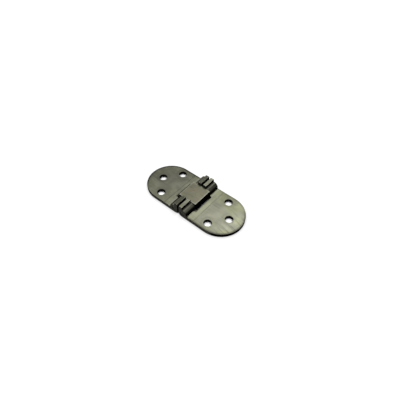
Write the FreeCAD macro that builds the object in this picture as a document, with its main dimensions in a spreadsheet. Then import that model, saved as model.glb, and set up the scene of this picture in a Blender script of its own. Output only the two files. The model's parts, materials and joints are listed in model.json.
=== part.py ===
import FreeCAD, Part
import math
import os

import Sketcher
from FreeCAD import Placement, Rotation, Vector

# A flush hinge for a fold-over table flap, laid open on its smooth face.
# X runs from leaf to leaf, Y along the pins and Z up from the smooth face to the lugs.
# Each leaf turns on a pin of its own in a link block, so the smooth faces can fold together.

# Driving dimensions in millimetres: name, value and meaning
SIZES = [
    ("overall_length", 60.0, "end of one leaf to end of the other, laid flat"),
    ("overall_width", 26.0, "width of a leaf, which is also the diameter of its round end"),
    ("leaf_thickness", 2.0, "thickness of the plate"),
    ("pin_height", 2.7, "pin axis above the smooth face, and outer radius of a lug's barrel"),
    ("fold_gap", 0.2, "gap between the smooth faces when they are folded together"),
    ("pin_diameter", 2.5, "pin, and the lug bores that it is pressed into"),
    ("pin_end_recess", 0.15, "how far a pin stops short of the lug's outer end"),
    ("pin_end_chamfer", 0.3, "chamfer on a pin's ends"),
    ("running_clearance", 0.05, "gap round a pin in the link block"),
    ("link_width", 11.7, "link block along the pins"),
    ("side_clearance", 0.2, "gap between the link block and a lug"),
    ("link_edge_break", 0.12, "rounding of the link block's edges"),
    ("notch_clearance", 0.4, "gap between the link block's turning corner and a leaf's notch"),
    ("notch_corner_radius", 0.9, "rounding of the notch's inner corners"),
    ("rib_gap", 1.1, "gap between the two leaves' stop ribs, laid flat"),
    ("rib_width", 2.05, "stop rib across the pins"),
    ("rib_rise", 1.5, "stop rib above the top of the barrel"),
    ("foot_radius", 0.3, "hollow fillet where a lug stands on the plate"),
    ("rim_radius", 0.25, "rounding of a leaf's outer edge on the lug side"),
    ("rim_chamfer", 0.2, "chamfer of a leaf's outer edge on the smooth face"),
    ("edge_break", 0.2, "rounding of the ribs' tops"),
    ("screw_hole", 4.3, "diameter of the screw holes"),
    ("countersink", 5.6, "diameter of a countersink in the smooth face"),
    ("countersink_angle", 90.0, "angle of a countersink, in degrees"),
    ("pair_distance", 15.9, "middle of the hinge to the pair of holes"),
    ("pair_spacing", 17.4, "spacing of the pair of holes along the pins"),
    ("single_distance", 22.65, "middle of the hinge to the single hole"),
    ("score_distance", 9.8, "middle of the hinge to the line scored across a leaf"),
    ("score_width", 0.35, "width of the scored line"),
    ("score_depth", 0.15, "depth of the scored line"),
]

# Places worked out from the driving dimensions
HALF_LENGTH = "sizes.overall_length / 2"
HALF_WIDTH = "sizes.overall_width / 2"
ROUND_END_X = f"({HALF_LENGTH} - {HALF_WIDTH})"
PIN_X = "(sizes.pin_height + sizes.fold_gap / 2)"
PIN_Z = "sizes.pin_height"
PIN_RADIUS = "sizes.pin_diameter / 2"
BARREL_RADIUS = "sizes.pin_height"
BARREL_SIDE_X = f"({PIN_X} + {BARREL_RADIUS})"
BARREL_TOP_Z = f"({PIN_Z} + {BARREL_RADIUS})"
RIB_INNER_X = "sizes.rib_gap / 2"
RIB_OUTER_X = "(sizes.rib_gap / 2 + sizes.rib_width)"
RIB_TOP_Z = f"({BARREL_TOP_Z} + sizes.rib_rise)"
LUG_INNER_Y = "(sizes.link_width / 2 + sizes.side_clearance)"
NOTCH_END_X = f"({PIN_X} + {BARREL_RADIUS} * sqrt(2) + sizes.notch_clearance)"
RIM_RADIUS = "min(sizes.rim_radius; sizes.foot_radius)"

ON_LINE = 1e-4


# Document and size sheet

doc = FreeCAD.newDocument("table_hinge")
sheet = doc.addObject("Spreadsheet::Sheet", "sizes")
for row, (alias, size, meaning) in enumerate(SIZES, start=1):
    sheet.set(f"A{row}", meaning)
    sheet.set(f"B{row}", str(size))
    sheet.setAlias(f"B{row}", alias)
doc.recompute()


# Sketch helpers

def value(expression):
    """The present value of an expression on the size sheet."""
    return float(sheet.evalExpression(expression))


def new_sketch(body, name, plane, lift=None):
    """A sketch on one of the body's own planes, lifted along its normal if asked."""
    sketch = body.newObject("Sketcher::SketchObject", name)
    support = next(f for f in body.Origin.OriginFeatures if f.Role == plane)
    sketch.AttachmentSupport = [(support, "")]
    sketch.MapMode = "FlatFace"
    if lift is not None:
        sketch.setExpression("AttachmentOffset.Base.z", lift)
    return sketch


def bind(sketch, kind, references, expression):
    """Add a dimension to the sketch and tie it to the size sheet."""
    index = sketch.addConstraint(Sketcher.Constraint(kind, *references, value(expression)))
    sketch.setExpression(f"Constraints[{index}]", expression)


def hold_point(sketch, geometry, end, x=None, y=None):
    """Fix a point of the sketch by one or both of its coordinates."""
    if x is not None:
        bind(sketch, "DistanceX", (-1, 1, geometry, end), x)
    if y is not None:
        bind(sketch, "DistanceY", (-1, 1, geometry, end), y)


def draw_outline(sketch, corners, arcs=None):
    """Draw a closed outline, anticlockwise.

    corners are (x, y, held): two expressions and the coordinates that are fixed, "x", "y" or "xy".
    arcs maps a side's number to the (x, y, radius) of the arc that takes the place of a line there.
    """
    arcs = arcs or {}
    points = [Vector(value(x), value(y), 0) for x, y, _ in corners]
    count = len(points)
    for side, start in enumerate(points):
        end = points[(side + 1) % count]
        if side not in arcs:
            sketch.addGeometry(Part.LineSegment(start, end))
            continue
        centre_x, centre_y, radius = arcs[side]
        centre = Vector(value(centre_x), value(centre_y), 0)
        circle = Part.Circle(centre, Vector(0, 0, 1), value(radius))
        first = math.atan2(start.y - centre.y, start.x - centre.x)
        last = math.atan2(end.y - centre.y, end.x - centre.x)
        sketch.addGeometry(Part.ArcOfCircle(circle, first, last))
    for side in range(count):
        sketch.addConstraint(Sketcher.Constraint("Coincident", side, 2, (side + 1) % count, 1))
    for side, (centre_x, centre_y, radius) in arcs.items():
        hold_point(sketch, side, 3, centre_x, centre_y)
        bind(sketch, "Radius", (side,), radius)
    for side, (x, y, held) in enumerate(corners):
        hold_point(sketch, side, 1, x if "x" in held else None, y if "y" in held else None)


def draw_rectangle(sketch, low_x, high_x, low_y, high_y):
    """Draw a rectangle between two pairs of expressions."""
    draw_outline(sketch, [(low_x, low_y, "xy"), (high_x, low_y, "xy"),
                          (high_x, high_y, "xy"), (low_x, high_y, "xy")])


def draw_circle(sketch, x, y, radius):
    """Draw a circle about a point given by two expressions."""
    centre = Vector(value(x), value(y), 0)
    circle = sketch.addGeometry(Part.Circle(centre, Vector(0, 0, 1), value(radius)))
    hold_point(sketch, circle, 3, x, y)
    bind(sketch, "Radius", (circle,), radius)


# Feature helpers

def pad(body, sketch, length, symmetric=False):
    """Grow the sketch into a solid, to one side or to both."""
    feature = body.newObject("PartDesign::Pad", f"{sketch.Name}_pad")
    feature.Profile = sketch
    feature.SideType = "Symmetric" if symmetric else "One side"
    feature.setExpression("Length", length)
    doc.recompute()
    return feature


def pocket(body, sketch, depth=None):
    """Cut the sketch out to a depth, or right through to both sides."""
    before = body.Shape.Volume
    feature = body.newObject("PartDesign::Pocket", f"{sketch.Name}_cut")
    feature.Profile = sketch
    if depth is None:
        feature.SideType = "Symmetric"
        feature.Type = "ThroughAll"
    else:
        feature.setExpression("Length", depth)
    doc.recompute()
    check_cut(body, feature, before)
    return feature


def check_cut(body, feature, before):
    """A cut that points away from the solid leaves its volume as it was."""
    if body.Shape.Volume >= before:
        raise RuntimeError(f"{feature.Label} removes nothing")


def edges_where(body, name, wanted):
    """The body's last feature and the names of its edges of which every sample point is wanted."""
    base = body.Tip
    names = []
    for number, edge in enumerate(base.Shape.Edges, start=1):
        points = edge.discretize(5)
        if all(wanted(point) for point in points):
            names.append(f"Edge{number}")
    if not names:
        raise RuntimeError(f"{name} finds no edge")
    return base, names


def round_edges(body, name, radius, wanted):
    """Round the wanted edges."""
    edges = edges_where(body, name, wanted)
    feature = body.newObject("PartDesign::Fillet", name)
    feature.Base = edges
    feature.setExpression("Radius", radius)
    doc.recompute()
    return feature


def bevel_edges(body, name, size, wanted):
    """Chamfer the wanted edges."""
    edges = edges_where(body, name, wanted)
    feature = body.newObject("PartDesign::Chamfer", name)
    feature.Base = edges
    feature.setExpression("Size", size)
    doc.recompute()
    return feature


def near(number, target):
    """Whether two lengths are the same."""
    return abs(number - target) < ON_LINE


# Leaf: a half-round plate with two lugs, made as one piece

def add_plate(body, name):
    """The plate, with straight sides and a full round end."""
    sketch = new_sketch(body, f"{name}_plate", "XY_Plane")
    draw_outline(
        sketch,
        [(PIN_X, f"-{HALF_WIDTH}", "xy"), (ROUND_END_X, f"-{HALF_WIDTH}", "x"),
         (ROUND_END_X, HALF_WIDTH, "x"), (PIN_X, HALF_WIDTH, "xy")],
        {1: (ROUND_END_X, "0", HALF_WIDTH)},
    )
    pad(body, sketch, "sizes.leaf_thickness")


def add_lugs(body, name):
    """Barrel and stop rib across the whole width, later parted by the notch."""
    sketch = new_sketch(body, f"{name}_lug", "XZ_Plane")
    about_pin = (PIN_X, PIN_Z, BARREL_RADIUS)
    draw_outline(
        sketch,
        [(PIN_X, "0", "x"), (BARREL_SIDE_X, "0", "xy"), (BARREL_SIDE_X, PIN_Z, "y"),
         (RIB_OUTER_X, BARREL_TOP_Z, "x"), (RIB_OUTER_X, RIB_TOP_Z, "xy"),
         (RIB_INNER_X, RIB_TOP_Z, "xy"), (RIB_INNER_X, f"{PIN_Z} / 2", "x")],
        {2: about_pin, 6: about_pin},
    )
    pad(body, sketch, "sizes.overall_width", symmetric=True)


def cut_notch(body, name):
    """The notch that the link block turns in."""
    sketch = new_sketch(body, f"{name}_notch", "XY_Plane")
    draw_rectangle(sketch, "0", NOTCH_END_X, f"-{LUG_INNER_Y}", LUG_INNER_Y)
    pocket(body, sketch)
    end_x = value(NOTCH_END_X)
    side_y = value(LUG_INNER_Y)
    round_edges(body, f"{name}_notch_corners", "sizes.notch_corner_radius",
                lambda p: near(p.x, end_x) and near(abs(p.y), side_y))


def cut_pin_bore(body, name):
    """The bore through both lugs that the pin is pressed into."""
    sketch = new_sketch(body, f"{name}_pin_bore", "XZ_Plane")
    draw_circle(sketch, PIN_X, PIN_Z, PIN_RADIUS)
    pocket(body, sketch)


def on_rim(point):
    """Whether a point lies on the outside of the leaf, seen from above."""
    past_sides = point.x - value(ROUND_END_X)
    if past_sides <= 0:
        return near(abs(point.y), value(HALF_WIDTH))
    return near(math.hypot(past_sides, point.y), value(HALF_WIDTH))


def soften_edges(body, name):
    """The hollow fillet at a lug's foot, then the broken edges, which run on round the barrel's ends."""
    plate_z = value("sizes.leaf_thickness")
    foot_x = value(BARREL_SIDE_X)
    rib_z = value(RIB_TOP_Z)
    round_edges(body, f"{name}_foot", "sizes.foot_radius",
                lambda p: near(p.z, plate_z) and near(p.x, foot_x))
    round_edges(body, f"{name}_upper_rim", RIM_RADIUS,
                lambda p: near(p.z, plate_z) and on_rim(p))
    round_edges(body, f"{name}_rib_tops", "sizes.edge_break", lambda p: near(p.z, rib_z))
    bevel_edges(body, f"{name}_lower_rim", "sizes.rim_chamfer", lambda p: near(p.z, 0) and on_rim(p))


def cut_screw_holes(body, name):
    """Three holes, countersunk from the smooth face."""
    sketch = new_sketch(body, f"{name}_screws", "XY_Plane")
    radius = "sizes.screw_hole / 2"
    draw_circle(sketch, "sizes.pair_distance", "sizes.pair_spacing / 2", radius)
    draw_circle(sketch, "sizes.pair_distance", "-sizes.pair_spacing / 2", radius)
    draw_circle(sketch, "sizes.single_distance", "0", radius)
    doc.recompute()
    before = body.Shape.Volume
    holes = body.newObject("PartDesign::Hole", f"{name}_screw_holes")
    holes.Profile = sketch
    holes.Reversed = True
    holes.ThreadType = "None"
    holes.DepthType = "ThroughAll"
    holes.HoleCutType = "Countersink"
    holes.setExpression("Diameter", "sizes.screw_hole")
    holes.setExpression("HoleCutDiameter", "sizes.countersink")
    holes.setExpression("HoleCutCountersinkAngle", "sizes.countersink_angle")
    doc.recompute()
    check_cut(body, holes, before)


def cut_score(body, name):
    """The shallow line across the leaf on its lug side."""
    sketch = new_sketch(body, f"{name}_score", "XY_Plane", lift="sizes.leaf_thickness")
    draw_rectangle(sketch, "sizes.score_distance - sizes.score_width / 2",
                   "sizes.score_distance + sizes.score_width / 2", f"-{HALF_WIDTH}", HALF_WIDTH)
    pocket(body, sketch, "sizes.score_depth")


def make_leaf(name, turn):
    """A leaf that reaches towards +X, turned about Z to its own side of the hinge."""
    body = doc.addObject("PartDesign::Body", name)
    body.Label = name
    add_plate(body, name)
    add_lugs(body, name)
    cut_notch(body, name)
    cut_pin_bore(body, name)
    soften_edges(body, name)
    cut_screw_holes(body, name)
    cut_score(body, name)
    body.Placement = Placement(Vector(0, 0, 0), Rotation(Vector(0, 0, 1), turn))
    return body


# Link block: turns on one pin in each leaf

def make_link(name):
    """A block as high as the barrels, with a running bore for each pin."""
    body = doc.addObject("PartDesign::Body", name)
    body.Label = name
    section = new_sketch(body, f"{name}_section", "XZ_Plane")
    draw_rectangle(section, f"-{BARREL_SIDE_X}", BARREL_SIDE_X, "0", BARREL_TOP_Z)
    pad(body, section, "sizes.link_width", symmetric=True)
    round_edges(body, f"{name}_edges", "sizes.link_edge_break", lambda p: True)
    bores = new_sketch(body, f"{name}_bores", "XZ_Plane")
    bore_radius = f"{PIN_RADIUS} + sizes.running_clearance"
    draw_circle(bores, PIN_X, PIN_Z, bore_radius)
    draw_circle(bores, f"-{PIN_X}", PIN_Z, bore_radius)
    pocket(body, bores)
    return body


# Pins: plain round rod, chamfered at both ends

def make_pin(name, side):
    """A pin through a leaf's two lugs and the link block."""
    body = doc.addObject("PartDesign::Body", name)
    body.Label = name
    sketch = new_sketch(body, f"{name}_section", "XZ_Plane")
    draw_circle(sketch, "0", "0", PIN_RADIUS)
    pad(body, sketch, "sizes.overall_width - 2 * sizes.pin_end_recess", symmetric=True)
    end_y = value(f"{HALF_WIDTH} - sizes.pin_end_recess")
    bevel_edges(body, f"{name}_ends", "sizes.pin_end_chamfer", lambda p: near(abs(p.y), end_y))
    body.setExpression("Placement.Base.x", f"{side} * {PIN_X}")
    body.setExpression("Placement.Base.z", PIN_Z)
    doc.recompute()
    return body


bodies = [
    make_leaf("fixed_leaf", 180),
    make_leaf("flap_leaf", 0),
    make_link("link_block"),
    make_pin("fixed_leaf_pin", -1),
    make_pin("flap_leaf_pin", 1),
]
doc.recompute()


# Checks, then one file for each piece

for item in doc.Objects:
    if "Invalid" in item.State or "Error" in item.State:
        raise RuntimeError(f"{item.Label} failed: {item.State}")
for body in bodies:
    if body.Shape.isNull() or not body.Shape.isValid() or len(body.Shape.Solids) != 1:
        raise RuntimeError(f"{body.Label} is not one valid solid")

os.makedirs("parts", exist_ok=True)
for body in bodies:
    body.Shape.exportStep(os.path.join("parts", f"{body.Label}.step"))
    box = body.Shape.optimalBoundingBox(False, False)
    print(f"{body.Label}: {len(body.Shape.Solids)} solid, {body.Shape.Volume:.1f} mm3, "
          f"x {box.XMin:.2f} to {box.XMax:.2f}, y {box.YMin:.2f} to {box.YMax:.2f}, "
          f"z {box.ZMin:.2f} to {box.ZMax:.2f}")
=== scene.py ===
# %% [markdown]
# # Fold-over table hinge in satin steel
# The hinge is five solid pieces: two half-round leaves, a link block between them and two pins.
# Every piece comes with its true shape, so this lesson is about finish, light and camera. We load
# the pieces as a fixed frame and keep the size of the whole.

# %% Load the frame
import json
import math

import bpy
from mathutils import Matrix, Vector


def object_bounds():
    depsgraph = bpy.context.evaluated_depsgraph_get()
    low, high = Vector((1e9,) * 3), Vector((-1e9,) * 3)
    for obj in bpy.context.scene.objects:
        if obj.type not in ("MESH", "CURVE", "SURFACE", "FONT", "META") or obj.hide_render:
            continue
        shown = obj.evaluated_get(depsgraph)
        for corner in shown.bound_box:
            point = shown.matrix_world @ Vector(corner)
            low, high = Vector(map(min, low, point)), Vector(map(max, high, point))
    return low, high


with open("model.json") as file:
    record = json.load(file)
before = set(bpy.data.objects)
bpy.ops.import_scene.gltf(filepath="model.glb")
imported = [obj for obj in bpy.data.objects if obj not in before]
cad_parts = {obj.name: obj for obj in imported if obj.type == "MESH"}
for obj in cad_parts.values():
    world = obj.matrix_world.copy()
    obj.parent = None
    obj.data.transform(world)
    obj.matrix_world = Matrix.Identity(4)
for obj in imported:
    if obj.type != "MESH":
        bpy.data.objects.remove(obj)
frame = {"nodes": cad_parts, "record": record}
cad_low, cad_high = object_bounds()
nodes = frame["nodes"]
mounts = {mount["name"]: mount for mount in frame["record"]["mounts"]}
MM = 0.001
print("pieces:", sorted(nodes))
print("size in mm:", [round(side / MM, 2) for side in cad_high - cad_low])

# %% [markdown]
# ## Sums in place of node boxes
# A finish such as ground steel needs a few dozen Math nodes. They could be wired one by one, but
# that hides the idea. One small class wraps a node's output and overloads Python's operators, so
# that a line such as `1 - mask * 0.5` adds its nodes by itself. The reflected forms let a plain
# number stand first.

# %% A socket that can do sums
class Socket:
    """A node's output as a value in Python expressions."""

    def __init__(self, tree, output):
        self.tree = tree
        self.output = output

    def maths(self, operation, *values):
        node = self.tree.nodes.new("ShaderNodeMath")
        node.operation = operation
        for slot, value in zip(node.inputs, values):
            feed(self.tree, slot, value)
        return Socket(self.tree, node.outputs[0])

    def __add__(self, other):
        return self.maths("ADD", self, other)

    def __radd__(self, other):
        return self.maths("ADD", other, self)

    def __sub__(self, other):
        return self.maths("SUBTRACT", self, other)

    def __rsub__(self, other):
        return self.maths("SUBTRACT", other, self)

    def __mul__(self, other):
        return self.maths("MULTIPLY", self, other)

    def __rmul__(self, other):
        return self.maths("MULTIPLY", other, self)

    def __truediv__(self, other):
        return self.maths("DIVIDE", self, other)

    def __rtruediv__(self, other):
        return self.maths("DIVIDE", other, self)

    def __abs__(self):
        return self.maths("ABSOLUTE", self)

    def least(self, other):
        return self.maths("MINIMUM", self, other)

    def most(self, other):
        return self.maths("MAXIMUM", self, other)


def feed(tree, slot, value):
    """Link a Socket to a node's input, or set a plain value there."""
    if isinstance(value, Socket):
        tree.links.new(value.output, slot)
    else:
        slot.default_value = value


print("a socket takes + - * / and abs, and knows least and most")

# %% [markdown]
# ## One method for every other node
# Textures, colour mixes and shaders come from a single method. It takes the node's type, then its
# settings, which have to be set before the sockets appear, and then what goes into the sockets.
# The short helpers after it give the soft steps and bands of which all masks here are made.

# %% A finish is a node tree with a few helpers
class Finish:
    """The node tree of a material or of the world."""

    def __init__(self, tree):
        self.tree = tree
        tree.nodes.clear()

    def node(self, kind, settings=None, inputs=None, output=0):
        made = self.tree.nodes.new(kind)
        for name, value in (settings or {}).items():
            setattr(made, name, value)
        for name, value in (inputs or {}).items():
            feed(self.tree, made.inputs[name], value)
        return Socket(self.tree, made.outputs[output]) if made.outputs else None

    def step(self, value, low, high):
        """A smooth change from 0 at low to 1 at high."""
        return self.node("ShaderNodeMapRange", {"interpolation_type": "SMOOTHSTEP"},
                         {"Value": value, "From Min": low, "From Max": high})

    def fade(self, value, low, high):
        """A smooth change from 1 at low to 0 at high."""
        return 1 - self.step(value, low, high)

    def band(self, value, low, full, ebb, high):
        """A smooth rise from low to full and a smooth fall from ebb to high."""
        return self.step(value, low, full) * self.fade(value, ebb, high)

    def mix(self, factor, first, second):
        """A colour between two colours."""
        settings = {"data_type": "RGBA", "clamp_factor": True}
        return self.node("ShaderNodeMix", settings, {0: factor, 6: first, 7: second}, 2)

    def shade(self, colour, value):
        """A colour made lighter or darker."""
        return self.node("ShaderNodeHueSaturation", None, {"Color": colour, "Value": value})

    def stretch(self, vector, by):
        """A vector multiplied side by side."""
        return self.node("ShaderNodeVectorMath", {"operation": "MULTIPLY"}, {0: vector, 1: by})

    def noise(self, vector, scale=1.0, detail=2.0):
        """A cloudy texture about one half."""
        inputs = {"Vector": vector, "Scale": scale, "Detail": detail}
        return self.node("ShaderNodeTexNoise", None, inputs)

    def part(self, vector, axis):
        """One of a vector's three numbers."""
        return self.node("ShaderNodeSeparateXYZ", None, {"Vector": vector}, "XYZ".index(axis))


def new_material(name):
    """A material with an empty node tree."""
    material = bpy.data.materials.new(name)
    material.use_nodes = True
    return material, Finish(material.node_tree)


print("a finish knows step, fade, band, mix, shade, stretch, noise and part")

# %% [markdown]
# ## Grinding lines and stains
# The broad faces were ground lengthwise on a belt. An image could show the lines, but a noise
# needs no file and has no seams: squeezed across the leaf and drawn out along it, it gives very
# fine lines, broad soft ones, and here and there a deep scratch. The barrels were rolled, so their
# lines run along the pin. At the round ends, where the belt ran off, the lines lean. Two slow
# noises that are the same in all directions give the cloudy stains of oil and handling.

# %% Textures of the steel
FINE_GRIND = (220.0, 9000.0, 9000.0)
BROAD_GRIND = (45.0, 1300.0, 1300.0)
SCRATCHES = (130.0, 3600.0, 3600.0)
SCRATCH_LEVEL = (0.66, 0.70)
ROLLING = (1150.0, 40.0, 1150.0)
STREAKS_ALONG = 60.0
STREAKS_ACROSS = 1100.0
STREAK_LEAN = 0.25
CLOUDS = 190.0
TINTS = 120.0
NOISE_MIDDLE = 0.5


def steel_textures(finish, place):
    """The noises that all pieces share, by name."""
    scratch = finish.noise(finish.stretch(place, SCRATCHES), detail=1.0)
    along = finish.part(place, "X")
    askew = (finish.part(place, "Y") + along * STREAK_LEAN) * STREAKS_ACROSS
    leaning = finish.node("ShaderNodeCombineXYZ", None, {"X": along * STREAKS_ALONG, "Y": askew})
    return {
        "fine": finish.noise(finish.stretch(place, FINE_GRIND), detail=3.0),
        "broad": finish.noise(finish.stretch(place, BROAD_GRIND), detail=3.0),
        "cloud": finish.noise(place, CLOUDS, detail=3.0),
        "tint": finish.noise(place, TINTS),
        "streak": finish.noise(leaning),
        "roll": finish.noise(finish.stretch(place, ROLLING)),
        "scratch": finish.step(scratch, *SCRATCH_LEVEL),
    }


def swing(noise, share):
    """A noise as a change about nought."""
    return (noise - NOISE_MIDDLE) * share


print("lines per mm: fine", FINE_GRIND[1] * MM, "broad", BROAD_GRIND[1] * MM)

# %% [markdown]
# ## Where the belt reached
# The belt touched the plate and the tops of the ribs, but not the barrels, the cut sides or the
# walls of the holes, which keep a dark skin. Those faces could be picked one by one. Here the mask
# is the direction of the surface in the piece's own space, so it stays with the piece when a leaf
# turns, and a band of heights leaves the barrels out.

# %% Mask of the barrels
GROUND_TILT = (0.95, 0.99)
BAND_BLUR = 0.2 * MM
BARREL_LIFT = 0.6 * MM
RIB_CAP = 0.5 * MM
barrel_low = mounts["fixed_leaf_seat"]["pos_m"][2] + BARREL_LIFT
rib_low = cad_high.z - RIB_CAP


def barrel_mask(finish, height):
    """One at the heights of the barrels and nought below and above."""
    return finish.band(height, barrel_low, barrel_low + BAND_BLUR, rib_low - BAND_BLUR, rib_low)


print("barrels in mm, from and to:", round(barrel_low / MM, 2), round(rib_low / MM, 2))

# %% [markdown]
# ## Distances on a leaf
# Two distances place the marks of making and use. They could be painted by hand, but a formula
# follows the part if its size changes. The distance from the outline is that of a shape with round
# ends: half the width less the distance from a line through the middle. The distance from the
# nearest screw hole is counted in hole radii, with the centres read from the record's mounts.

# %% Distance from the outline and from the holes
FLATTEN = (1.0, 1.0, 0.0)
half_length = cad_high.x
half_width = cad_high.y
hole_radius = mounts["fixed_leaf_end_screw"]["dims"]["r_mm"] * MM


def from_outline(finish, place):
    """How far a point of a leaf lies inside the outline."""
    beyond = (abs(finish.part(place, "X")) - (half_length - half_width)).most(0.0)
    flat = finish.node("ShaderNodeCombineXYZ", None, {"X": beyond, "Y": finish.part(place, "Y")})
    return half_width - finish.node("ShaderNodeVectorMath", {"operation": "LENGTH"}, {0: flat}, 1)


def hole_centres(leaf):
    """The three screw holes of a leaf, as points on the plane of the smooth faces."""
    pair = mounts[f"{leaf}_screw_pair"]
    end_x, end_y, _ = mounts[f"{leaf}_end_screw"]["pos_m"]
    reach = pair["dims"]["spacing_y_mm"] / 2 * MM
    x, y, _ = pair["pos_m"]
    return [(x, y - reach, 0.0), (x, y + reach, 0.0), (end_x, end_y, 0.0)]


def from_hole(finish, place, holes):
    """The distance from the axis of the nearest hole, in hole radii."""
    flat = finish.stretch(place, FLATTEN)
    measure = {"operation": "DISTANCE"}
    distances = [finish.node("ShaderNodeVectorMath", measure, {0: flat, 1: centre}, 1)
                 for centre in holes]
    nearest = distances[0]
    for distance in distances[1:]:
        nearest = nearest.least(distance)
    return nearest / hole_radius


print("round end in mm:", round(half_width / MM, 2), "hole in mm:", round(2 * hole_radius / MM, 2))

# %% [markdown]
# ## Nooks and edges
# Nooks are darkened, as dirt and as painted shade, and outer edges are made bright, as wear and as
# a painted highlight. Both could be marked by hand on the mesh, but ambient occlusion is a handy
# ruler
# inside a material: measured outwards it finds the nooks, and measured inwards it finds the outer
# edges, such as those of the link block.

# %% Occlusion as a ruler
NOOK_REACH = 1.2 * MM
EDGE_REACH = 0.8 * MM
RULER_RAYS = 8


def occlusion(finish, reach, inside):
    """How much of the surroundings is blocked within reach, from nought to one."""
    settings = {"inside": inside, "only_local": True, "samples": RULER_RAYS}
    return 1 - finish.node("ShaderNodeAmbientOcclusion", settings, {"Distance": reach}, 1)


print("reach in mm: nooks", round(NOOK_REACH / MM, 2), "edges", round(EDGE_REACH / MM, 2))

# %% [markdown]
# ## Satin steel with a dark skin
# The ground steel is a warm grey with a yellow-green film, as old lacquer has. The skin that the
# belt left is nearly black, partly as its own colour and partly as painted shade, the barrels are
# painted lighter on top as a painted highlight, and sawn ends are greyer. One shader could do for
# all, but a skin stays dull when it is seen at a slant, and bare metal shines. So two metals share
# one colour, and the mask of the ground faces mixes them.

# %% Colours of the steel
GREY = (0.245, 0.247, 0.188, 1.0)
FILM = (0.259, 0.267, 0.170, 1.0)
# Nearly black: partly the skin's own colour, partly painted shade on the faces that are not ground.
SKIN_AND_SHADE = (0.004, 0.0036, 0.0026, 1.0)
# The rolled colour of the barrels' tops, lighter than the skin as a painted highlight.
BARREL_SHEEN = (0.100, 0.100, 0.078, 1.0)
SAWN = (0.048, 0.047, 0.040, 1.0)
# Bright steel of worn edges, also used as a painted highlight on edges.
RUBBED_GLINT = (0.46, 0.46, 0.38, 1.0)
DULL_EDGE = (0.4, 0.4, 0.4, 1.0)
CLEAR_EDGE = (1.0, 1.0, 1.0, 1.0)
LINE_DEPTH = 0.01 * MM
LINE_STRENGTH = 0.25


def surface(finish, base, rough, height, ground):
    """A metal that is clear at a slant where it is ground, and dull where it has its skin."""
    bump = finish.node("ShaderNodeBump", None, {
        "Strength": LINE_STRENGTH, "Distance": LINE_DEPTH, "Height": height})
    dull, clear = [finish.node("ShaderNodeBsdfPrincipled", None, {
        "Base Color": base, "Metallic": 1.0, "Roughness": rough,
        "Specular Tint": edge, "Normal": bump}) for edge in (DULL_EDGE, CLEAR_EDGE)]
    metal = finish.node("ShaderNodeMixShader", None, {0: ground, 1: dull, 2: clear})
    finish.node("ShaderNodeOutputMaterial", None, {"Surface": metal})


print("ground steel:", GREY[:3], "skin:", SKIN_AND_SHADE[:3])

# %% [markdown]
# ## The start of every steel
# All five pieces start alike, with the place on the piece, the direction of its surface and the
# textures. The lines show twice: as light and dark, and as a relief of a hundredth of a millimetre,
# which breaks up the reflections as a ground face does.

# %% Light, dark and relief of the lines
FINE_SHARE = 0.22
BROAD_SHARE = 0.20
SCRATCH_SHADE = 0.25


def start_steel(name):
    """A new material with its place, its direction and the textures."""
    material, finish = new_material(name)
    place = finish.node("ShaderNodeTexCoord", None, None, "Object")
    direction = finish.node("ShaderNodeTexCoord", None, None, "Normal")
    return material, finish, place, direction, steel_textures(finish, place)


def brightness(tex, cloud_share):
    """The light and dark of the grinding lines and the stains."""
    lines = swing(tex["fine"], FINE_SHARE) + swing(tex["broad"], BROAD_SHARE)
    return 1 + lines + swing(tex["cloud"], cloud_share)


def relief(tex):
    """The height of the grinding lines, with the scratches cut in."""
    return (tex["fine"] + tex["broad"]) / 2 - tex["scratch"]


print("depth of the lines in mm:", round(LINE_DEPTH / MM, 3))

# %% [markdown]
# ## Reading a leaf
# Every mark on a leaf sits somewhere: on the plate, on a barrel, on a rib, near the outline or
# near a hole. One function measures all of these once, so that the functions after it can be read
# like a list of marks.

# %% Where a point lies on a leaf
LUG_SIDE = (1.0 * MM, 1.5 * MM)
SIDE_BAND = (-11.0 * MM, -7.0 * MM)
HALF_BAND = (0.0, 1.0 * MM)
RUN_OFF = (18.0 * MM, 27.0 * MM)


def read_leaf(finish, place, direction, holes, rim_side):
    """The masks and distances that the marks of a leaf use, by name."""
    height = finish.part(place, "Z")
    across = finish.part(place, "Y")
    out = abs(finish.part(place, "X"))
    facing = finish.part(direction, "Z")
    barrel = barrel_mask(finish, height)
    return {
        "out": out,
        "across": across,
        "facing": facing,
        "barrel": barrel,
        "end_face": abs(finish.part(direction, "Y")),
        "ground": finish.step(abs(facing), *GROUND_TILT) * (1 - barrel),
        "lug_side": finish.step(height, *LUG_SIDE),
        "rib": finish.step(height, rib_low, rib_low + BAND_BLUR),
        "inside": from_outline(finish, place),
        "away": from_hole(finish, place, holes),
        "side": finish.step(across * rim_side, *SIDE_BAND),
        "rim_half": finish.step(across * rim_side, *HALF_BAND),
        "run_off": finish.step(out, *RUN_OFF),
        "blocked": occlusion(finish, NOOK_REACH, False),
        "edge": occlusion(finish, EDGE_REACH, True),
    }


print("the belt runs off between", [round(x / MM, 1) for x in RUN_OFF], "mm from the middle")

# %% [markdown]
# ## Light and dark of the plate
# The plate is painted darker towards its far side, as painted shade, and its round end is painted
# lighter on the flap leaf and darker on the fixed leaf, as painted light and shade. The plate was
# ground a little brighter on the strip by the lugs, and the ribs were ground separately. It has
# halos round the screw holes, where oil has gathered, and leaning streaks at the round end. All of
# this is one number that makes the colour lighter or darker, because a stain on steel changes its
# lightness far more than its hue.

# %% Lightness of the plate
PLATE_CLOUDS = 1.05
PLATE_SHADE = 0.03
FILM_LIGHT = 0.06
FAR_SIDE_SHADE_SHARE = 0.18
FALL_REACH = (0.5 * MM, 4.0 * MM)
STREAK_LEVEL = (0.53, 0.61)
HALO = (1.05, 1.30, 1.50, 2.10)
HALO_CLOUD = (0.42, 0.58)
HALO_SHADE = 0.20


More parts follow.
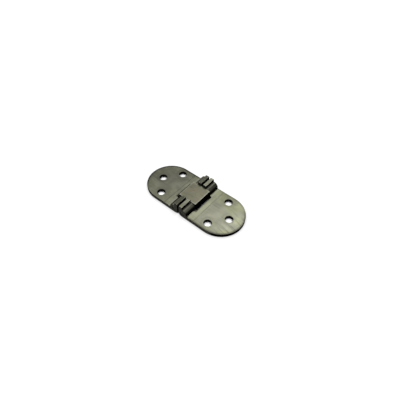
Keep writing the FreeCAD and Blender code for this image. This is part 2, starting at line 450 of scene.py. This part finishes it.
def plate_light(finish, at, tex, look, film, strip):
    """How light the ground steel of a leaf is."""
    light = brightness(tex, PLATE_CLOUDS) + film * FILM_LIGHT + strip * look["strip"] - PLATE_SHADE
    # Painted shade: the plate is darker towards its far side, except on the ribs and the round end.
    far_side_shade = at["across"] / half_width * (1 - at["run_off"].most(at["rib"]))
    fall = finish.fade(at["inside"], *FALL_REACH) * at["side"]
    light = light - far_side_shade * FAR_SIDE_SHADE_SHARE - fall * look["fall"]
    streaks = finish.step(tex["streak"], *STREAK_LEVEL) * at["run_off"] * at["side"]
    # Painted light and shade: the round end is made lighter on the flap leaf and darker on the
    # fixed leaf.
    light = light + at["run_off"] * look["end"] - streaks * look["streaks"]
    halo = finish.band(at["away"], *HALO) * finish.step(tex["cloud"], *HALO_CLOUD)
    light = light - tex["scratch"] * SCRATCH_SHADE - halo * HALO_SHADE
    return light * (1 + at["rib"] * (look["rib"] - 1)) * look["tone"]


print("halo in mm from a hole's axis:", [round(part * hole_radius / MM, 2) for part in HALO])

# %% [markdown]
# ## Colour of the plate
# Old lacquer has turned yellow-green, most of all near the outline and on the strip between the
# lugs and the score line. The edge of the film wanders with a slow noise, because an even edge
# would look painted.

# %% Plate colour
SCORE_X = 9.8 * MM
STRIP_BLUR = 1.5 * MM
STRIP_FILM = 0.5
FILM_REACH = 10.0 * MM
FILM_WANDER = 45.0 * MM


def plate_colour(finish, at, tex, look):
    """The ground steel of a leaf with its film and stains."""
    film = finish.fade(at["inside"] + swing(tex["tint"], FILM_WANDER), 0.0, FILM_REACH)
    strip = finish.fade(at["out"], SCORE_X - STRIP_BLUR, SCORE_X + STRIP_BLUR) * (1 - at["rib"])
    lacquer = film.most(strip * STRIP_FILM) * look["film"]
    light = plate_light(finish, at, tex, look, film, strip)
    return finish.shade(finish.mix(lacquer, GREY, FILM), light)


print("film reaches in by mm:", round(FILM_REACH / MM, 1))

# %% [markdown]
# ## The skin that the belt missed
# The barrels were rolled, so they have streaks along the pin, and their tops are painted lighter
# than their sides, as a painted highlight. The ends of the lugs were sawn. The walls of the holes
# and notches are nearly black, partly as painted shade. The direction of the surface tells these
# apart, with no need for a material slot each.

# %% Skin colour
SAWN_TILT = (0.93, 0.99)
HOLE_WALL = (1.02, 1.10)
ROLL_SHARE = 4.4


def skin_shade_and_sheen_colour(finish, at, tex, look):
    """The dark skin of a leaf, partly painted shade, greyer on sawn ends, and lighter on top of the
    barrels as a painted highlight.
    """
    sawn = finish.step(at["end_face"], *SAWN_TILT) * finish.step(at["away"], *HOLE_WALL)
    rolled_sheen = finish.shade(BARREL_SHEEN, (1 + swing(tex["roll"], ROLL_SHARE)) * look["roll"])
    # Painted highlight: the barrels' upward faces take the lighter rolled colour, and their sides
    # the dark skin.
    top = at["barrel"] * finish.step(at["facing"], *look["barrel"])
    return finish.mix(top, finish.mix(sawn, SKIN_AND_SHADE, SAWN), rolled_sheen)


print("top of the barrels:", BARREL_SHEEN[:3], "sawn ends:", SAWN[:3])

# %% [markdown]
# ## Dark rims, grime and painted shade
# There is a dark line along the outline, stronger on some sides of a leaf than on others, and round
# the holes. Nooks are darkened, as dirt and as painted shade, and on the barrels as painted shade.
# The plate is painted darker beside the link block and at a notch corner, as painted shade. The
# masks for these come from the distances and from the occlusion, so that no mark has to be placed
# by hand.

# %% Rims, grime and painted shade
RIM_REACH = (0.50 * MM, 1.30 * MM)
BURR = (1.05, 1.20)
BURR_SHARE = 0.35
NOOK_DIRT_AND_SHADE = (0.25, 0.90)
NOOK_SHARE = 0.6
BARREL_NOOK_SHADE = (0.15, 0.50)
BLOCK_SIDE_SHADE_ACROSS = (5.4 * MM, 5.8 * MM)
BLOCK_SIDE_SHADE_OUT = (7.6 * MM, 8.3 * MM)
NOTCH_SHADOW_ACROSS = (7.1 * MM, 7.6 * MM)
NOTCH_SHADOW_OUT = (6.9 * MM, 7.3 * MM)


def dark_rims(finish, at, look, base):
    """Dark lines along the outline and round the holes."""
    outline = finish.fade(at["inside"], *RIM_REACH) * (1 - at["rib"])
    outline = outline * at["side"].most(look["far_rim"]) * look["rim"]
    burr = finish.fade(at["away"], *BURR) * BURR_SHARE
    return finish.mix(outline.most(burr) * at["ground"], base, SAWN)


def grime_and_painted_shade(finish, at, look, base):
    """Dirt and painted shade in the nooks, and painted shade on the plate beside the block and at
    the notch corner.
    """
    # Dirt and painted shade: nooks go towards the skin colour by the occlusion; on the barrels it
    # is painted shade.
    dirt = finish.step(at["blocked"], *NOOK_DIRT_AND_SHADE) * NOOK_SHARE
    barrel_nook_shade = finish.step(at["blocked"], *BARREL_NOOK_SHADE) * at["barrel"] * look["dirt"]
    base = finish.mix(dirt.most(barrel_nook_shade), base, SKIN_AND_SHADE)
    beside = abs(at["across"])
    # Painted shade: a dark band on the plate beside the link block.
    grease = finish.fade(beside, *BLOCK_SIDE_SHADE_ACROSS) * finish.fade(at["out"], *BLOCK_SIDE_SHADE_OUT)
    # Painted shadow: a dark patch on the plate at the near corner of the flap leaf's notch.
    corner = finish.fade(beside, *NOTCH_SHADOW_ACROSS) * finish.fade(at["out"], *NOTCH_SHADOW_OUT)
    corner = corner * at["rim_half"] * (1 - at["rib"])
    plate_painted_shade = (grease * look["grease"]).most(corner * look["corner"])
    return finish.mix(plate_painted_shade * at["ground"] * at["lug_side"], base, SKIN_AND_SHADE)


print("dark rim in mm:", [round(reach / MM, 2) for reach in RIM_REACH])

# %% [markdown]
# ## Bright edges and a worn line
# The edges of the ribs stand up and are made bright, partly as wear and partly as a painted
# highlight. A bright line on the plate at the foot of the lugs is a painted highlight. On one leaf
# the score line is nearly worn away, so it takes the colour of the plate again.

# %% Rubbed and glinting edges and the score line
FOOT_HIGHLIGHT_LINE = (6.1 * MM, 6.4 * MM, 6.8 * MM, 7.1 * MM)
FOOT_HIGHLIGHT_SIDE = (6.0 * MM, 6.3 * MM)
FOOT_HIGHLIGHT_SHARE = 0.7
RIB_EDGE_GLINT = (0.15, 0.50)
RUBBED_GLINT_SHARE = 0.45
SCORE_FLANK = (0.35 * MM, 0.45 * MM)
SCORE_END = (0.3 * MM, 0.5 * MM)


def rubbed_and_glinting_edges(finish, at, base):
    """Bright rib edges, worn and with a painted highlight, and a painted highlight where the lugs
    meet the plate.
    """
    # Wear and painted highlight: the rib edges are made bright.
    rib_edge_glint = finish.step(at["edge"], *RIB_EDGE_GLINT) * at["rib"]
    # Painted highlight: a bright line on the plate at the foot of the lugs.
    foot = finish.band(at["out"], *FOOT_HIGHLIGHT_LINE) * finish.step(abs(at["across"]), *FOOT_HIGHLIGHT_SIDE)
    rubbed_and_glint = rib_edge_glint.most(foot * FOOT_HIGHLIGHT_SHARE) * at["ground"] * at["lug_side"]
    return finish.mix(rubbed_and_glint * RUBBED_GLINT_SHARE, base, RUBBED_GLINT)


def worn_score(finish, at, look, base, plate):
    """The score line, as light as the plate where it is worn."""
    score = finish.fade(abs(at["out"] - SCORE_X), *SCORE_FLANK) * at["lug_side"]
    score = score * finish.step(at["inside"], *SCORE_END)
    return finish.mix(score * look["worn_score"], base, plate)


print("score line in mm from the middle:", round(SCORE_X / MM, 2))

# %% [markdown]
# ## The leaves
# The two leaves are the same piece, but not of the same batch of finish: the fixed leaf has less
# film, and it is darker, partly as painted shade. Two recipes would repeat nearly everything, so
# there is one recipe, and what differs is kept in a small table of shares.

# %% Leaf steel
LEAF_LOOKS = {
    # Painted light and shade among these shares: the fixed leaf's lower tone is partly painted
    # shade, the end share paints light on one round end and shade on the other, the barrel and roll
    # shares set the painted highlight on top of the barrels, and two shares set painted shade on
    # the plate beside the block and at the notch corner.
    "fixed_leaf": {
        "tone": 0.87, "film": 0.35, "strip": 0.14, "end": -0.12, "streaks": 0.14, "fall": 0.04,
        "rib": 0.44, "roll": 1.7, "barrel": (0.15, 0.70), "rim_side": 1, "rim": 0.90,
        "far_rim": 0.0, "dirt": 0.3, "grease": 0.9, "corner": 0.0, "worn_score": 0.85},
    "flap_leaf": {
        "tone": 0.95, "film": 0.90, "strip": 0.26, "end": 0.24, "streaks": 0.42, "fall": 0.24,
        "rib": 1.05, "roll": 0.9, "barrel": (0.40, 0.97), "rim_side": -1, "rim": 0.65,
        "far_rim": 0.45, "dirt": 1.0, "grease": 0.0, "corner": 0.95, "worn_score": 0.0},
}
LEAF_ROUGH = 0.50
LEAF_SMOOTHED = 0.12
CLOUD_ROUGH = 0.12
LINE_ROUGH = 0.08


def leaf_steel(name, holes, look):
    """Ground steel on the plate and the rib tops, and dark skin elsewhere."""
    material, finish, place, direction, tex = start_steel(name)
    at = read_leaf(finish, place, direction, holes, look["rim_side"])
    plate = plate_colour(finish, at, tex, look)
    base = finish.mix(at["ground"], skin_shade_and_sheen_colour(finish, at, tex, look), plate)
    base = dark_rims(finish, at, look, base)
    base = grime_and_painted_shade(finish, at, look, base)
    base = rubbed_and_glinting_edges(finish, at, base)
    base = worn_score(finish, at, look, base, plate)
    rough = LEAF_ROUGH - at["ground"] * LEAF_SMOOTHED
    rough = rough + swing(tex["cloud"], CLOUD_ROUGH) + swing(tex["broad"], LINE_ROUGH)
    surface(finish, base, rough, relief(tex), at["ground"])
    return material


def dress(node, material):
    """Put one material on a piece."""
    slots = nodes[node].data.materials
    slots.clear()
    slots.append(material)


for leaf, look in LEAF_LOOKS.items():
    holes = hole_centres(leaf)
    dress(leaf, leaf_steel(f"{leaf}_steel", holes, look))
    print(leaf, "dressed, with marks round", len(holes), "holes")

# %% [markdown]
# ## The link block
# The block was ground on top and below, and its edges are bright, partly as wear and partly as a
# painted highlight. Its sides keep the dark skin, partly painted shade. On top it has a few thin
# veins and spots of rust. A vein is where a slow noise passes through its middle value, which gives
# a thin line for the price of one sum, and the cloud noise breaks it into pieces.

# %% Link steel
BLOCK = (0.246, 0.242, 0.172, 1.0)
RUST = (0.21, 0.137, 0.089, 1.0)
BLOCK_TILT = (0.60, 0.70)
BLOCK_CLOUDS = 0.50
BLOCK_SHADE = 0.12
BLOCK_ROUGH = 0.48
BLOCK_SMOOTHED = 0.10
BLOCK_EDGE = (0.08, 0.40)
BLOCK_RUBBED_GLINT = 0.65
VEIN_WIDTH = (0.004, 0.020)
VEIN_CLOUD = (0.42, 0.54)
VEIN_SHARE = 0.36
SPOT_CLOUD = (0.54, 0.70)
SPOT_SHARE = 0.35


def link_steel(name):
    """Ground steel with rust and bright edges on top, the edges partly a painted highlight, and
    dark sides that are partly painted shade.
    """
    material, finish, _, direction, tex = start_steel(name)
    ground = finish.step(abs(finish.part(direction, "Z")), *BLOCK_TILT)
    light = brightness(tex, BLOCK_CLOUDS) - tex["scratch"] * SCRATCH_SHADE - BLOCK_SHADE
    vein = finish.fade(abs(tex["tint"] - NOISE_MIDDLE), *VEIN_WIDTH)
    vein = vein * finish.step(tex["cloud"], *VEIN_CLOUD) * VEIN_SHARE
    spot = finish.step(tex["cloud"], *SPOT_CLOUD) * SPOT_SHARE
    plate = finish.mix(vein.most(spot), finish.shade(BLOCK, light), RUST)
    # Wear and painted highlight: the block's outer edges are made bright.
    edge = finish.step(occlusion(finish, EDGE_REACH, True), *BLOCK_EDGE)
    plate = finish.mix(edge * BLOCK_RUBBED_GLINT, plate, RUBBED_GLINT)
    rough = BLOCK_ROUGH - ground * BLOCK_SMOOTHED + swing(tex["cloud"], CLOUD_ROUGH)
    surface(finish, finish.mix(ground, SKIN_AND_SHADE, plate), rough, relief(tex), ground)
    return material


dress("link_block", link_steel("link_steel"))
print("link_block dressed")

# %% [markdown]
# ## The pins
# The pins are drawn rod, of which only the sawn ends show. They share one material, because they
# come from the same rod.

# %% Pin steel
PIN_CLOUDS = 0.40
PIN_ROUGH = 0.40


def pin_steel(name):
    """Drawn rod with sawn ends."""
    material, finish, _, direction, tex = start_steel(name)
    sawn = finish.step(abs(finish.part(direction, "Y")), *SAWN_TILT)
    drawn = finish.shade(GREY, brightness(tex, PIN_CLOUDS))
    rough = PIN_ROUGH + swing(tex["cloud"], CLOUD_ROUGH)
    surface(finish, finish.mix(sawn, drawn, SAWN), rough, tex["fine"], 1 - sawn)
    return material


rod = pin_steel("pin_steel")
for pin in ("fixed_leaf_pin", "flap_leaf_pin"):
    dress(pin, rod)
print("materials:", sorted(material.name for material in bpy.data.materials))

# %% [markdown]
# ## White paper
# The hinge lies on white paper. More light would make the paper white, but the steel too bright.
# So the paper is a plain pale matt colour, which catches the shadow, and a glow is added for the
# rays that show it: from the camera, in metal or through glass. Occlusion tells where the paper
# lies open. Where it is closed in, in the narrow gaps where hardly any light gets in, the paper's
# colour is made nearly black and its glow nought, as a painted shadow. Close to the hinge, where
# the shadow is deepest, the glow is a little weaker, as a painted contact shadow, and in the screw
# holes it is full, as painted light.

# %% Paper
PAPER_PALE = (0.33, 0.33, 0.33, 1.0)
PAPER_PAINTED_SHADOW = (0.03, 0.03, 0.03, 1.0)
PAPER_GLOW = (0.78, 0.78, 0.78, 1.0)
FULL_GLOW = (0.95, 0.95, 0.95, 1.0)
FAR = (0.15, 0.80)
HOLE_FLOOR = (1.1, 1.4)
OPEN_REACH = 6.0 * MM
OPEN_SHARE = (0.30, 0.45)
CONTACT_SHADOW_REACH = 1.8 * MM
CONTACT_SHADOW_SHARE = (0.50, 1.0)
CONTACT_SHADOW_GLOW = 0.78
PAPER_RAYS = 16


def shown(finish):
    """One for the rays that show the surroundings."""
    camera_ray, glossy_ray, clear_ray = [
        finish.node("ShaderNodeLightPath", None, None, f"Is {kind} Ray")
        for kind in ("Camera", "Glossy", "Transmission")]
    return camera_ray.most(glossy_ray).most(clear_ray)


def openness(finish, reach):
    """How much of the sky a point of the paper sees within reach."""
    settings = {"samples": PAPER_RAYS}
    return finish.node("ShaderNodeAmbientOcclusion", settings, {"Distance": reach}, 1)


def white_paper(name):
    """Pale matt paper that shows white where it lies open."""
    material, finish = new_material(name)
    place = finish.node("ShaderNodeTexCoord", None, None, "Object")
    # Painted shadow: where the occlusion finds the paper closed in, its colour goes nearly black
    # and its glow to nought.
    painted_open_light = finish.step(openness(finish, OPEN_REACH), *OPEN_SHARE)
    colour = finish.mix(painted_open_light, PAPER_PAINTED_SHADOW, PAPER_PALE)
    paper = finish.node("ShaderNodeBsdfDiffuse", None, {"Color": colour})
    holes = hole_centres("fixed_leaf") + hole_centres("flap_leaf")
    # Painted light: the paper in the screw holes gets the full glow and no contact shadow.
    hole_painted_light = finish.fade(from_hole(finish, place, holes), *HOLE_FLOOR)
    far_out = finish.node("ShaderNodeVectorMath", {"operation": "LENGTH"}, {0: place}, 1)
    glow = finish.mix(finish.step(far_out, *FAR).most(hole_painted_light), PAPER_GLOW, FULL_GLOW)
    light = finish.node("ShaderNodeEmission", None, {"Color": glow, "Strength": 1.0})
    white = finish.node("ShaderNodeAddShader", None, {0: paper, 1: light})
    # Painted contact shadow: the glow is weaker where the hinge is close.
    clear = finish.step(openness(finish, CONTACT_SHADOW_REACH), *CONTACT_SHADOW_SHARE).most(hole_painted_light)
    share = shown(finish) * painted_open_light * (CONTACT_SHADOW_GLOW + clear * (1 - CONTACT_SHADOW_GLOW))
    sheet = finish.node("ShaderNodeMixShader", None, {0: share, 1: paper, 2: white})
    finish.node("ShaderNodeOutputMaterial", None, {"Surface": sheet})
    return material


paper_material = white_paper("floor_pale")
print("paper nodes:", len(paper_material.node_tree.nodes))

# %% [markdown]
# ## The floor
# A sweep that curves up behind would also do, but the camera looks down, so one large flat square
# is enough. It lies a hundredth of a millimetre under the smooth faces, because two faces in the
# same plane would flicker.

# %% Floor
FLOOR_SIZE = 6.0
FLOOR_DROP = 0.01 * MM


def make_floor(material):
    """A large square just under the smooth faces."""
    half = FLOOR_SIZE / 2
    low = cad_low.z - FLOOR_DROP
    corners = [(-half, -half, low), (half, -half, low), (half, half, low), (-half, half, low)]
    mesh = bpy.data.meshes.new("floor")
    mesh.from_pydata(corners, [], [(0, 1, 2, 3)])
    mesh.materials.append(material)
    floor = bpy.data.objects.new("floor", mesh)
    bpy.context.scene.collection.objects.link(floor)
    return floor


print("floor in metres:", list(make_floor(paper_material).dimensions[:2]))

# %% [markdown]
# ## A room to mirror
# Satin metal shows its surroundings, so the light is shaped by what the leaves mirror. A picture
# of a studio could be wrapped round the hinge, but two soft steps do as much here: white walls, and
# a ceiling that is dim behind the hinge and brighter over the camera, for the views from behind.

# %% World
WALLS = (1.0, 1.0, 1.0, 1.0)
CEILING = (0.30, 0.30, 0.30, 1.0)
CEILING_BY_CAMERA = (0.80, 0.80, 0.80, 1.0)
WALL_TOP = (0.38, 0.62)
CAMERA_HALF = (-0.35, 0.10)


def make_world():
    """White walls round the hinge and a dimmer ceiling above."""
    world = bpy.data.worlds.new("studio")
    world.use_nodes = True
    finish = Finish(world.node_tree)
    direction = finish.node("ShaderNodeTexCoord", None, None, "Generated")
    behind = finish.step(finish.part(direction, "Y"), *CAMERA_HALF)
    ceiling = finish.mix(behind, CEILING_BY_CAMERA, CEILING)
    room = finish.mix(finish.step(finish.part(direction, "Z"), *WALL_TOP), WALLS, ceiling)
    light = finish.node("ShaderNodeBackground", None, {"Color": room, "Strength": 1.0})
    finish.node("ShaderNodeOutputWorld", None, {"Surface": light})
    bpy.context.scene.world = world
    return world


print("world:", make_world().name)

# %% [markdown]
# ## One soft lamp
# The flap leaf mirrors a part of the ceiling that is high and behind, and the fixed leaf one that
# is lower and to the left. A tall soft lamp high behind the hinge therefore brightens it from left
# to right, as in the photograph. A small lamp would give a hard spot instead.

# %% Lamp
LAMP_PLACE = (-0.08, 0.36, 0.92)
LAMP_WIDTH = 0.40
LAMP_HEIGHT = 0.70
LAMP_POWER = 3.4


def make_lamp(name):
    """A soft lamp that looks at the hinge."""
    lamp = bpy.data.lights.new(name, "AREA")
    lamp.shape = "RECTANGLE"
    lamp.size = LAMP_WIDTH
    lamp.size_y = LAMP_HEIGHT
    lamp.energy = LAMP_POWER
    holder = bpy.data.objects.new(name, lamp)
    holder.location = LAMP_PLACE
    holder.rotation_euler = (-Vector(LAMP_PLACE)).to_track_quat("-Z", "Y").to_euler()
    bpy.context.scene.collection.objects.link(holder)
    return holder


print("lamp:", make_lamp("back_softbox").name, "at", round(Vector(LAMP_PLACE).length, 2), "m")

# %% [markdown]
# ## The photograph's camera
# The camera could be set by eye, but it was found by fitting the outline and the hole centres of
# the hinge to the photograph. It looks down at about 49 degrees from the near right, close enough
# for a clear perspective. The lens follows from the focal length in pixels, and a small shift puts
# the hinge where the photograph has it.

# %% Camera
PHOTO_PIXELS = 400
FOCAL_PIXELS = 333.4
MIDDLE_PIXEL = (194.50, 197.08)
SENSOR = 36.0
NEAR_CLIP = 1.0 * MM
FAR_CLIP = 20.0
AZIMUTH = math.radians(40.31)
ELEVATION = math.radians(49.07)
DISTANCE = 175.9 * MM
AIM = Vector((0.0, 0.0, mounts["fixed_leaf_seat"]["pos_m"][2]))

back = Vector((math.sin(AZIMUTH) * math.cos(ELEVATION),
               -math.cos(AZIMUTH) * math.cos(ELEVATION),
               math.sin(ELEVATION)))
lens = bpy.data.cameras.new("camera")
lens.sensor_width = SENSOR
lens.lens = FOCAL_PIXELS / PHOTO_PIXELS * SENSOR
lens.shift_x = (PHOTO_PIXELS / 2 - MIDDLE_PIXEL[0]) / PHOTO_PIXELS
lens.shift_y = (MIDDLE_PIXEL[1] - PHOTO_PIXELS / 2) / PHOTO_PIXELS
lens.clip_start = NEAR_CLIP
lens.clip_end = FAR_CLIP
camera = bpy.data.objects.new("camera", lens)
camera.location = AIM + back * DISTANCE
camera.rotation_euler = (-back).to_track_quat("-Z", "Y").to_euler()
bpy.context.scene.collection.objects.link(camera)
bpy.context.scene.camera = camera
bpy.context.scene.view_settings.view_transform = "Standard"
print("lens in mm:", round(lens.lens, 2), "shift:", round(lens.shift_x, 4), round(lens.shift_y, 4))
